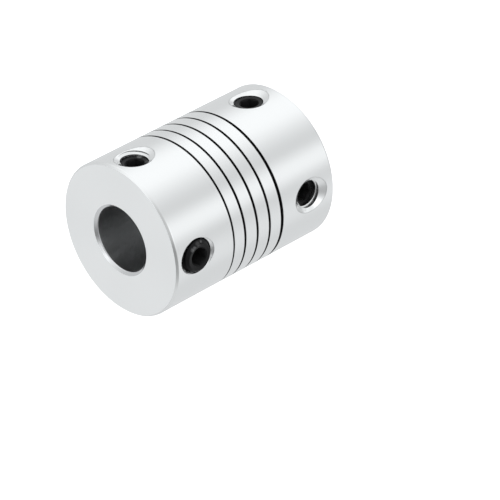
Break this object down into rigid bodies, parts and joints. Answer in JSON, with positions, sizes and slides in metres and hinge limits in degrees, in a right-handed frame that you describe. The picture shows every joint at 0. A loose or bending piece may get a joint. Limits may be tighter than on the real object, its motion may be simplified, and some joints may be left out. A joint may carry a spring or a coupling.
{
  "type": "helical beam shaft coupling",
  "caption": "Flexible shaft coupling turned from one piece: a cylinder with a through bore, a helical slit through its wall and socket set screws in both hubs.",
  "frame": {"origin": "centre of the lower end face, on the bore axis; the upper -Y screw stands 0.3 mm proud, so the box is centred 0.15 mm off it along Y", "axes": "+Z along the bore axis, +X and -Y through the set screws of each hub"},
  "size_m": [0.019, 0.0193, 0.025],
  "materials": {
    "turned_aluminium": "fine satin turned, bright chamfers",
    "black_oxide_steel": "black oxide"
  },
  "bodies": {
    "body": {"coupling_body": "turned_aluminium"},
    "screw_upper_x": {"set_screw_upper_x": "black_oxide_steel"},
    "screw_upper_y": {"set_screw_upper_y": "black_oxide_steel"},
    "screw_lower_x": {"set_screw_lower_x": "black_oxide_steel"},
    "screw_lower_y": {"set_screw_lower_y": "black_oxide_steel"}
  },
  "joints": [
    {"name": "screw_upper_x_travel", "type": "slide", "parent": "body", "child": "screw_upper_x", "axis": [1, 0, 0], "range_m": [-0.0007, 0.0028]},
    {"name": "screw_upper_y_travel", "type": "slide", "parent": "body", "child": "screw_upper_y", "axis": [0, -1, 0], "range_m": [-0.0014, 0.0021]},
    {"name": "screw_lower_x_travel", "type": "slide", "parent": "body", "child": "screw_lower_x", "axis": [1, 0, 0], "range_m": [-0.0014, 0.0028]},
    {"name": "screw_lower_y_travel", "type": "slide", "parent": "body", "child": "screw_lower_y", "axis": [0, -1, 0], "range_m": [-0.0007, 0.0028]}
  ]
}
